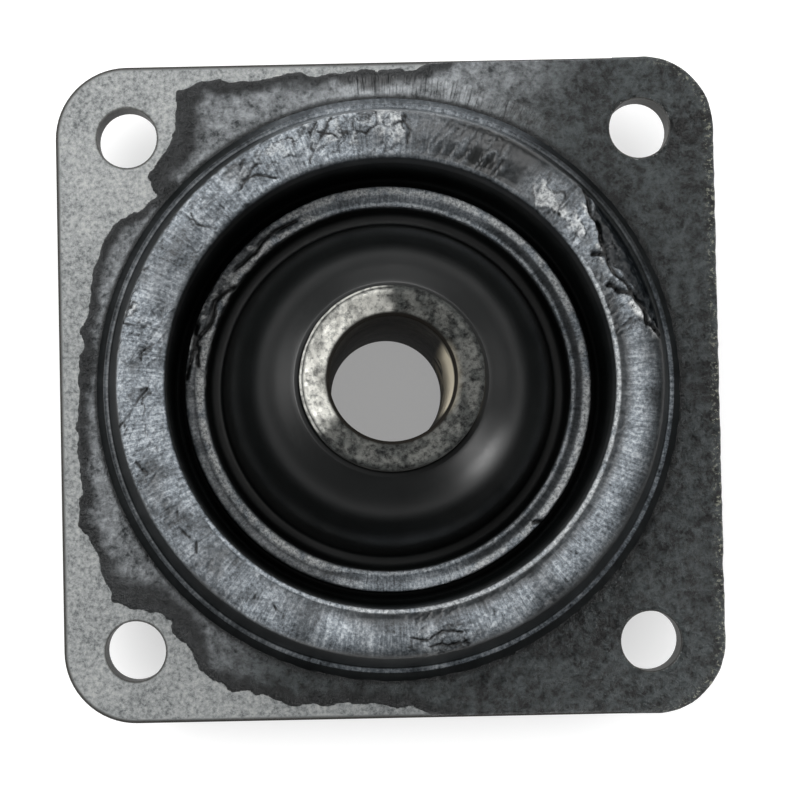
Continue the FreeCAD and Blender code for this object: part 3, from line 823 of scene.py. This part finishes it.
def shape_skin():
    """Set the skin's heights, round its rims, and snap its vertices to the bolt holes."""
    piece, points, bare, past, outward, right, hole_off = make_skin()
    flat = points[:, :2].copy()
    hole_centre = np.sign(flat) * HOLE_PLACE
    near_hole = hole_off < SKIN_HOLE_RAD + GRID_CELL * 0.55
    spoke = (flat - hole_centre) / np.maximum(hole_off, 1e-6)[:, None]
    flat = np.where(near_hole[:, None], hole_centre + spoke * SKIN_HOLE_RAD, flat)
    edge = fade(bare, 0.0, 0.45)
    hole_edge = fade(hole_off, SKIN_HOLE_RAD, SKIN_HOLE_RAD + 0.5)
    thick = SKIN_THICK * (0.4 + 0.6 * edge) * (0.3 + 0.7 * hole_edge)
    thick -= 0.30 * (bare < 0.01)
    grain = ripple(points, 2.4, 65, 4, 0.40) + ripple(points, 1.1, 67, 3, 0.60)
    grain *= 0.15 + 0.85 * fade(points[:, 0] - 0.8 * points[:, 1], -10.0, 30.0)
    height = PLATE_TOP + np.clip(thick + grain * edge, -0.05, SKIN_THICK + 0.3)
    lump = 0.16 + (FLASH_REACH - PLATE_HALF - 0.2) * noise(points, 2.1, 69, 2)
    over = np.clip(past + 0.25, 0, None)
    rolled = right * lump * fade(over, 0.0, 0.5)
    flat = flat - outward * np.clip(past, 0, None)[:, None] + outward * rolled[:, None]
    height = height - np.clip(past, 0, None) - 0.4 * fade(past, -0.45, 0.0) * (1 - right)
    reach = np.array([FLASH_REACH - 0.01, PLATE_HALF - 0.01])
    flat = np.clip(flat, -reach, reach)
    write_points(piece, np.column_stack([flat, height]))
    bpy.ops.object.shade_smooth()
    angle, radius = polar(points)
    west = stretch(angle, 130, 250, -12, 30)
    wide = 2.3 + 2.4 * stretch(angle, 208, 236, 0, 9) + 2.2 * stretch(angle, 118, 140, 0, 6)
    edge_share = (bare + ripple(points, 1.6, 68, 4, 1.6)) / wide
    left = -points[:, 0] + 0.5 * points[:, 1] + ripple(points, 6, 66, 3, 8)
    combed = stretch(angle, 52, 104, 0, 10) * (1 - fade(np.abs(radius - 35.6), 0.7, 1.5))
    # The foot value is painted shade in the corner where the skin meets the ring.
    paint(piece, bare_edge=1 - fade(edge_share, 0.40, 1.0), dusty=fade(left, -7, 12),
          combed=combed * 0.8, flash=right * fade(past, -1.2, -0.2),
          foot=1 - fade(radius, RING_BASE_RAD - 0.1, RING_BASE_RAD + 0.6 - 0.3 * west))
    piece.select_set(False)
    print(f"{piece.name}: {len(piece.data.polygons)} faces")
    return piece


skin = shape_skin()

# %% [markdown]
# ## The centre sleeve
#
# The sleeve is a turned steel tube. A washer has hammered and rubbed its end until the edge is rounded over
# and the face dips towards the bore. The dip catches the light on one side only. The bright wear is painted
# on that side only too, as a painted reflection, with a painted highlight along the rim.

# %% Spin the sleeve
SLEEVE_DIP = 1.15
# The end face is painted bright between these turns only: wear with a painted reflection.
BRIGHT_FROM, BRIGHT_TO = 88, 226
sleeve_outline = [
    (BORE_RAD, SLEEVE_FOOT + 0.6, 0.3, 0.2),
    (BORE_RAD + 0.5, SLEEVE_FOOT, 0.2, 0.5),
    (SLEEVE_RAD, SLEEVE_FOOT, 0.8, 3.0),
    (SLEEVE_RAD, SLEEVE_TOP - 2.4, 0, 0.25),
    (SLEEVE_RAD, SLEEVE_TOP - 0.05, 0.55, 0.2),
    (9.2, SLEEVE_TOP, 0.6, 0.2),
    (BORE_RAD + 0.45, SLEEVE_TOP - SLEEVE_DIP, 0.35, 0.2),
    (BORE_RAD, SLEEVE_TOP - SLEEVE_DIP - 0.55, 0.3, 0.8),
]
SLEEVE_STEPS = 400
sleeve = sweep_profile("worn_sleeve", rounded_path(sleeve_outline), SLEEVE_STEPS)


def wear_sleeve(piece):
    """Dent the end face and its rounded edge, and paint where the wear is bright, brightest on one side as a
    painted reflection, with a painted highlight along the rim.
    """
    points = read_points(piece)
    angle, radius = polar(points)
    end = fade(points[:, 2], SLEEVE_TOP - 2.2, SLEEVE_TOP - 0.8)
    points[:, 2] -= end * (patches(points, 1.5, 81, 3, 0.55, 0.75) * 0.16 + noise(points, 0.6, 83, 2) * 0.05)
    squash = 1 - end * 0.012 * noise(points, 2.2, 85, 2)
    points[:, :2] *= np.where(radius > SLEEVE_RAD - 1.2, squash, 1)[:, None]
    write_points(piece, points)
    height = points[:, 2]
    # Painted reflection: the worn face is painted bright on one side only.
    bright = fade(turn_between(angle, BRIGHT_FROM, BRIGHT_TO) + ripple(points, 2.5, 89, 3, 40), -4, 16)
    nicks = patches(points, 1.1, 87, 4, 0.35, 0.60)
    face = end * (1 - fade(radius, 9.3, 9.7)) * fade(radius, BORE_RAD + 0.3, BORE_RAD + 0.6)
    # A painted highlight along the rim's outer edge.
    rim_line = fade(height, SLEEVE_TOP - 0.8, SLEEVE_TOP - 0.5) * fade(radius, 9.72, 9.82)
    rubbed = face * np.maximum(bright * (0.50 + 0.45 * nicks), 0.08 * nicks)
    # Darker at the bore's mouth and foot: old oil, and painted shade.
    in_bore = radius < BORE_RAD + 0.35
    mouth = in_bore * fade(height, SLEEVE_TOP - 3.2, SLEEVE_TOP - 2.2)
    foot = in_bore * (1 - fade(height, SLEEVE_FOOT + 1.5, SLEEVE_FOOT + 6.5))
    # The pale patch on the bore's east wall is worn metal brightened as painted light.
    paint(piece, bright=np.maximum(rubbed, rim_line * bright * 0.8), end=end, grime=np.maximum(mouth, foot),
          wall_wear=stretch(angle, 322, 398, 0, 15) * patches(points, 3.0, 91, 3, 0.26, 0.44))


wear_sleeve(sleeve)
# The bright stretch is wear with a painted reflection.
print(f"sleeve end worn bright from {BRIGHT_FROM} to {BRIGHT_TO} degrees")

# %% [markdown]
# ## Moulded rubber
#
# Natural rubber with carbon black is near black and satin. Where it is rubbed, the surface goes grey and
# dull, and fine lines run the way the bracket slid. Where it flakes, the torn face is pale and dusty, and
# the cracks are black. The grey and the pale also carry painted highlights and painted shade. One
# material reads all of that from the values painted on the mesh.

# %% Ring and dome rubber
def polar_coords(add, coords, across_scale, along_scale):
    """Coordinates that follow the ring, for stretched marks: round it, along its radius, and up."""
    split = add("SeparateXYZ", {"Vector": coords})
    turn = add("Math", {0: split.outputs["Y"], 1: split.outputs["X"]}, operation="ARCTAN2")
    flat = add("CombineXYZ", {"X": split.outputs["X"], "Y": split.outputs["Y"]})
    radius = add("VectorMath", {0: flat}, operation="LENGTH")
    across, along, height = (
        add("Math", {0: place, 1: scale}, operation="MULTIPLY")
        for place, scale in [(turn, across_scale), (radius, along_scale), (split.outputs["Z"], along_scale)]
    )
    return add("CombineXYZ", {"X": across, "Y": along, "Z": height})


RUBBER_IOR = 1.52
NOISE_SOCKETS = ("Vector", "Scale", "Detail", "Roughness")

# Carbon-black rubber: satin where it is whole, grey where it is scuffed and where light is painted, pale
# where it has flaked and where highlights are painted.
material, add, coords, (scuff, pale, crack, torn, sooty) = new_material(
    "moulded_rubber", "scuff", "pale", "crack", "torn", "sooty")
# Slide marks 0.3 mm apart round the ring and 4 mm long, blotches of bloom of 4 mm, grit of 0.4 mm.
marks_at = polar_coords(add, coords, 95.0, 260.0)
marks, bloom, grit = (
    add("TexNoise", dict(zip(NOISE_SOCKETS, values)))
    for values in [(marks_at, 1, 5, 0.65), (coords, 240, 6, 0.6), (coords, 2600, 3, 0.7)]
)
black = add("ValToRGB", {"Fac": bloom}, stops=[(0.30, "090B0B"), (0.70, "111313")])
mixed = add("Mix", {0: 0.5, 2: marks, 3: bloom})
mixed = add("Mix", {0: 0.42, 2: mixed, 3: grit})
grey = add("ValToRGB", {"Fac": mixed}, stops=[(0.38, "24292D"), (0.63, "D5DBE0"), (0.5, "838B92")])
# Pale for flakes and crumbs, and for the painted highlights on the ridge and the lip's edges.
dust = add("ValToRGB", {"Fac": grit}, stops=[(0.38, "85888A"), (0.60, "E0E2E1")])
dull = add("MapRange", {"Value": scuff, "To Min": 0.30, "To Max": 0.40})
dull = add("Math", {0: grit, 1: 0.15, 2: dull}, operation="MULTIPLY_ADD")
# Soot dulls the flank, so it gives back little of what lies beside it.
shine = add("MapRange", {"Value": sooty, "To Min": 0.5, "To Max": 0.07})
marked = add("Math", {0: marks, 1: scuff}, operation="MULTIPLY")
gritty = add("Math", {0: grit, 1: scuff}, operation="MULTIPLY")
height = add("Math", {0: gritty, 1: 0.8, 2: marked}, operation="MULTIPLY_ADD")
bump = add("Bump", {"Height": height, "Strength": 0.9, "Distance": 0.2 * MM})
layers = [(scuff, grey), (pale, dust), (torn, "202427"), (crack, "070808")]
rubber_material = finish_material(material, add, black, layers, {
    "Roughness": dull, "IOR": RUBBER_IOR, "Specular IOR Level": shine, "Normal": bump})
for piece in (ring, core):
    piece.data.materials.append(rubber_material)
print("moulded rubber has", len(rubber_material.node_tree.nodes), "nodes")

# %% [markdown]
# ## The film of rubber on the plate
#
# The skin is the same rubber, squeezed out thin, so it shows the grain of what it lay against. It is dusty
# and grey on the left, and black and pebbled on the right.

# %% Skin rubber
# A thin film of rubber: pebbled, black on the right, grey and rubbed through on the left.
material, add, coords, (dusty, bare_edge, foot, flash, combed) = new_material(
    "rubber_film", "dusty", "bare_edge", "foot", "flash", "combed")
# Pebbles of 1.2 mm, blotches of 5 mm and specks of 0.4 mm.
pebbles, blotches, specks = (
    add("TexNoise", dict(zip(NOISE_SOCKETS, values)))
    for values in [(coords, 850, 4, 0.65), (coords, 190, 5, 0.6), (coords, 2400, 3, 0.7)]
)
fine = add("Mix", {0: 0.35, 2: pebbles, 3: specks})
grain = add("Mix", {0: 0.28, 2: fine, 3: blotches})
grey = add("ValToRGB", {"Fac": grain}, stops=[(0.40, "34383A"), (0.60, "A2A6A9")])
black = add("ValToRGB", {"Fac": grain}, stops=[(0.43, "060707"), (0.58, "444A4B")])
# Darker along the skin's ragged edge, and painted shade round the ring's foot.
shade = add("Math", {0: bare_edge, 1: foot}, operation="MAXIMUM")
shade = add("Math", {0: shade, 1: 0.92}, operation="MULTIPLY")
chips = add("Math", {0: specks, 1: 0.58}, operation="GREATER_THAN")
for share in (flash, 0.8):
    chips = add("Math", {0: chips, 1: share}, operation="MULTIPLY")
relief = add("Mix", {0: 0.35, 2: grain, 3: specks})
# Combed marks half a millimetre apart stand off the ring where the mould was scraped clean.
comb_at = polar_coords(add, coords, 70.0, 160.0)
comb = add("TexNoise", {"Vector": comb_at, "Scale": 1.0, "Detail": 2.0})
relief = add("Mix", {0: combed, 2: relief, 3: comb})
bump = add("Bump", {"Height": relief, "Strength": 1.0, "Distance": 0.9 * MM})
layers = [(dusty, grey), (shade, "0C0E0F"), (chips, "8E8F80")]
skin_material = finish_material(material, add, black, layers, {
    "Roughness": 0.34, "IOR": RUBBER_IOR, "Normal": bump})
skin.data.materials.append(skin_material)
print("skin material is on", skin.name)

# %% [markdown]
# ## Bare pressed steel
#
# The plate was blanked from hot-rolled sheet and never painted. Its grey scale has a fine speckle, darker
# stains and small rust pits. It is dull, so it is rough, and its grain is a tenth of a millimetre deep.

# %% Plate steel
# Unpainted hot-rolled steel sheet, dulled by heat: speckled grey with stains and rust pits.
material, add, coords, _ = new_material("pressed_steel")
# Speckle of 0.5 mm and stains of 7 mm. Rust pits are 4 mm apart, in areas 17 mm wide.
speckle, stains, areas = (
    add("TexNoise", dict(zip(NOISE_SOCKETS, values)))
    for values in [(coords, 2100, 4, 0.75), (coords, 150, 7, 0.62), (coords, 60, 2, 0.5)]
)
grain = add("Mix", {0: 0.30, 2: speckle, 3: stains})
grey = add("ValToRGB", {"Fac": grain}, stops=[(0.37, "56595A"), (0.66, "B4B5B3"), (0.5, "8F9292")])
pits = add("TexVoronoi", {"Vector": coords, "Scale": 260.0}, feature="F1")
pit_size = add("MapRange", {"Value": areas, "From Min": 0.52, "From Max": 0.75, "To Max": 0.11})
rust = add("Math", {0: pits, 1: pit_size}, operation="LESS_THAN")
# The plate is darker in a thin band along its blanked edge, past the corners' centre lines.
corner = HOLE_PLACE * MM
mirrored = add("VectorMath", {0: coords}, operation="ABSOLUTE")
past = add("VectorMath", {0: mirrored, 1: (corner, corner, 1.0)}, operation="SUBTRACT")
past = add("VectorMath", {0: past, 1: (0.0, 0.0, 0.0)}, operation="MAXIMUM")
reach = add("VectorMath", {0: past}, operation="LENGTH")
wander = add("Math", {0: speckle, 1: 0.5 * MM, 2: reach}, operation="MULTIPLY_ADD")
edge = add("MapRange", {
    "Value": wander, "From Min": (CORNER_RAD - 0.30) * MM, "From Max": (CORNER_RAD + 0.05) * MM})
# The holes' punched rims are darker in the same way.
across = add("VectorMath", {0: mirrored, 1: (1.0, 1.0, 0.0)}, operation="MULTIPLY")
from_hole = add("VectorMath", {0: across, 1: (corner, corner, 0.0)}, operation="DISTANCE")
rim = add("MapRange", {
    "Value": from_hole, "From Min": (HOLE_RAD + 0.30) * MM, "From Max": (HOLE_RAD + 0.10) * MM,
    "To Max": 0.85})
scale = add("Math", {0: edge, 1: rim}, operation="MAXIMUM")
rough = add("MapRange", {"Value": stains, "To Min": 0.42, "To Max": 0.68})
bump = add("Bump", {"Height": grain, "Strength": 0.5, "Distance": 0.12 * MM})
layers = [(rust, "4A362C"), (scale, "26241F")]
plate_material = finish_material(material, add, grey, layers, {
    "Metallic": 0.35, "Roughness": rough, "Normal": bump})
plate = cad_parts["flange_plate"]
plate.data.materials.clear()
plate.data.materials.append(plate_material)
print("plate steel is on", plate.name)

# %% [markdown]
# ## Worn turned steel
#
# The sleeve's end face is rubbed bright where the washer pressed, warm and silvery, and stays dark with
# oxide elsewhere. The bright paint lies on one side only, as a painted reflection. Inside the bore there
# is a film of old oil and rust, with painted shade at its mouth and foot, and a pale patch brightened
# as painted light.

# %% Sleeve steel
# Turned steel: bright and pale where rubbed and where a reflection is painted, dark with oxide elsewhere,
# rust-brown in the bore.
material, add, coords, (bright, end, grime, wall_wear) = new_material(
    "worn_turned_steel", "bright", "end", "grime", "wall_wear")
# Pits of 0.7 mm and streaks of 3 mm.
pits, streaks = (
    add("TexNoise", dict(zip(NOISE_SOCKETS, values)))
    for values in [(coords, 1500, 4, 0.7), (coords, 330, 5, 0.6)]
)
dark, bore, polished = (
    add("ValToRGB", {"Fac": pattern}, stops=stops)
    for pattern, stops in [
        (pits, [(0.38, "0D0E0E"), (0.62, "484A48")]), (streaks, [(0.36, "1C1B1A"), (0.64, "403E3A")]),
        (pits, [(0.34, "8F908C"), (0.54, "F4F3EB")])]
)
metal, rough, shine = (
    add("MapRange", {"Value": bright, "To Min": low, "To Max": high})
    for low, high in [(0.05, 0.65), (0.62, 0.28), (0.18, 0.5)]
)
rough = add("Math", {0: pits, 1: 0.2, 2: rough}, operation="MULTIPLY_ADD")
bump = add("Bump", {"Height": pits, "Strength": 0.6, "Distance": 0.15 * MM})
# Layers: painted light on the bore's pale patch, oxide on the end, oil and painted shade in the bore, and
# wear with a painted reflection on the end face.
layers = [(wall_wear, "F2E8D0"), (end, dark), (grime, "1D1A16"), (bright, polished)]
sleeve_material = finish_material(material, add, bore, layers, {
    "Metallic": metal, "Roughness": rough, "Specular IOR Level": shine, "Normal": bump})
sleeve.data.materials.append(sleeve_material)
print("sleeve steel is on", sleeve.name)

# %% [markdown]
# ## What stands for what
#
# Every new piece rides on the frame's one body. The ring, the dome and the skin together stand for
# the CAD rubber, which is one moulding, and the worn sleeve stands for the CAD sleeve.

# %% Tie the pieces to the frame
for piece in (ring, core, skin):
    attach(piece, "root")
    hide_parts("rubber_body")
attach(sleeve, "root")
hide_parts("centre_sleeve")
print("pieces on the frame: ring, dome, skin and sleeve")

# %% [markdown]
# ## Floor and light
#
# The mount stands on its sleeve on a white table in soft light. To the camera and to reflections the floor
# is half paper, which takes the lamps and the mount's shadow, and half glow. The glow asks an Ambient
# Occlusion node how open the floor is, so it is white in the open and dim in the bore. Large lamps stand
# round the object the way soft boxes would: left, behind and a weaker one to the right. A small low one
# glints on the dome.

# %% White floor
FLOOR_SIDE = 4.0
FLOOR_WHITE_SHARE = 0.5
FLOOR_GLOW_COVERED = 0.55
FLOOR_GLOW_OPEN = 1.35
OPEN_REACH = 0.08
PAPER = (0.92, 0.92, 0.92, 1.0)
WHITE = (1.0, 1.0, 1.0, 1.0)

bpy.ops.mesh.primitive_plane_add(size=FLOOR_SIDE)
floor = bpy.context.object
floor.name = floor.data.name = "table_top"
edit_all()
bpy.ops.transform.translate(value=(0, 0, SLEEVE_FOOT * MM))
bpy.ops.object.mode_set(mode="OBJECT")
floor.select_set(False)
material = bpy.data.materials.new("white_paper")
add = empty_tree(material)
paper = add("BsdfDiffuse", {"Color": PAPER})
openness = add("AmbientOcclusion", {"Distance": OPEN_REACH}, samples=16).outputs["AO"]
levels = {0: openness, 1: FLOOR_GLOW_OPEN, 2: FLOOR_GLOW_COVERED}
strength = add("Math", levels, operation="MULTIPLY_ADD")
glow = add("Emission", {"Color": WHITE, "Strength": strength})
rays = add("LightPath").outputs
seen = rays["Is Camera Ray"]
for other in ("Is Glossy Ray", "Is Transmission Ray"):
    seen = add("Math", {0: seen, 1: rays[other]}, operation="MAXIMUM")
share = add("Math", {0: seen, 1: FLOOR_WHITE_SHARE}, operation="MULTIPLY")
mixed = add("MixShader", {0: share, 1: paper, 2: glow})
add("OutputMaterial", {"Surface": mixed})
floor.data.materials.append(material)
print(f"floor at {SLEEVE_FOOT:.1f} mm")

# %% Lamps and sky
# Each lamp is (name, place in millimetres, size in millimetres, power in watts).
LAMPS = [
    ("softbox_left", (-240, 40, 290), 220, 0.94),
    ("softbox_back", (20, 250, 290), 240, 0.76),
    ("softbox_right", (260, 60, 250), 180, 0.22),
    ("window_low", (237, -172, 75), 80, 0.30),
]
SKY_LEVEL = 0.12

for name, place, size, power in LAMPS:
    light = bpy.data.lights.new(name, "AREA")
    light.shape = "SQUARE"
    light.size = size * MM
    light.energy = power
    lamp = bpy.data.objects.new(name, light)
    bpy.context.scene.collection.objects.link(lamp)
    lamp.location = [value * MM for value in place]
    lamp.rotation_euler = lamp.location.to_track_quat("Z", "Y").to_euler()
world = bpy.data.worlds.new("soft_room")
bpy.context.scene.world = world
add = empty_tree(world)
to_camera = add("LightPath").outputs["Is Camera Ray"]
strength = add("MapRange", {"Value": to_camera, "To Min": SKY_LEVEL, "To Max": 1.0})
sky = add("Background", {"Color": WHITE, "Strength": strength})
add("OutputWorld", {"Surface": sky})
print("lamps:", [name for name, *_ in LAMPS])

# %% [markdown]
# ## Camera
#
# The camera looks almost straight down from about 200 mm above the plate, a little towards the near side,
# which is why more of the far walls shows than of the near ones. It leans back by one degree, and the lens
# shift makes up the rest.

# %% Camera
CAMERA_PLACE = (-5.35, -13.8, PLATE_TOP + 204.0)
CAMERA_LEAN = math.radians(1.18)
CAMERA_TURN = math.radians(-1.16)
LENS, SENSOR_WIDTH = 78.7, 36.0
SHIFT_X, SHIFT_Y = 0.0652, 0.0899
CLIP_START = 0.01

data = bpy.data.cameras.new("bench_camera")
camera = bpy.data.objects.new("bench_camera", data)
bpy.context.scene.collection.objects.link(camera)
camera.location = [value * MM for value in CAMERA_PLACE]
camera.rotation_euler = (CAMERA_LEAN, 0, CAMERA_TURN)
data.lens = LENS
data.sensor_width = SENSOR_WIDTH
data.shift_x = SHIFT_X
data.shift_y = SHIFT_Y
data.clip_start = CLIP_START
bpy.context.scene.camera = camera
bpy.context.scene.view_settings.view_transform = "Standard"
print("camera at", CAMERA_PLACE)
